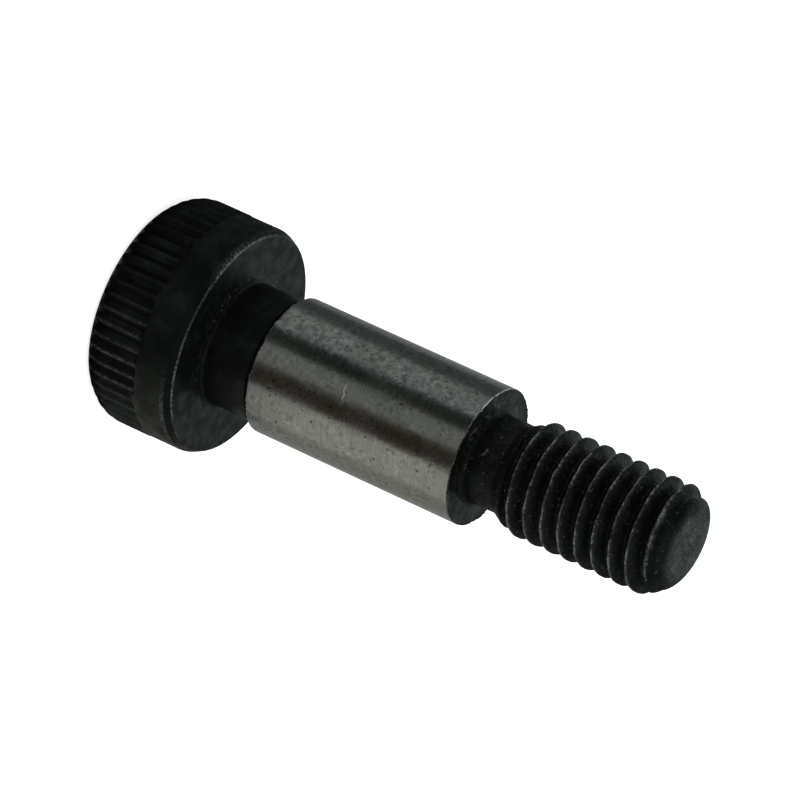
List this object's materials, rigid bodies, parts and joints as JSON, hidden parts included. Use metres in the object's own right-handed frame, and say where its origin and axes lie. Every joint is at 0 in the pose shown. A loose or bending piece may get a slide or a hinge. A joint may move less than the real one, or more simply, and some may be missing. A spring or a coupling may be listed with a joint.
{
  "type": "shoulder bolt",
  "caption": "Socket head shoulder bolt with a knurled head, a ground shoulder that runs in a bush or lever, and a rolled thread that screws into a tapped hole.",
  "frame": {"origin": "on the bolt's axis, in the plane of the bearing face under the head", "axes": "+Z along the axis from the head towards the thread; the bolt stands on its driving face"},
  "size_m": [0.01, 0.01, 0.0261],
  "materials": {
    "black_oxide": "satin black oxide on steel, thin and slightly worn along edges",
    "ground_steel": "bare ground steel of the shoulder"
  },
  "bodies": {
    "root": {"shoulder_bolt": "black_oxide"}
  },
  "joints": []
}
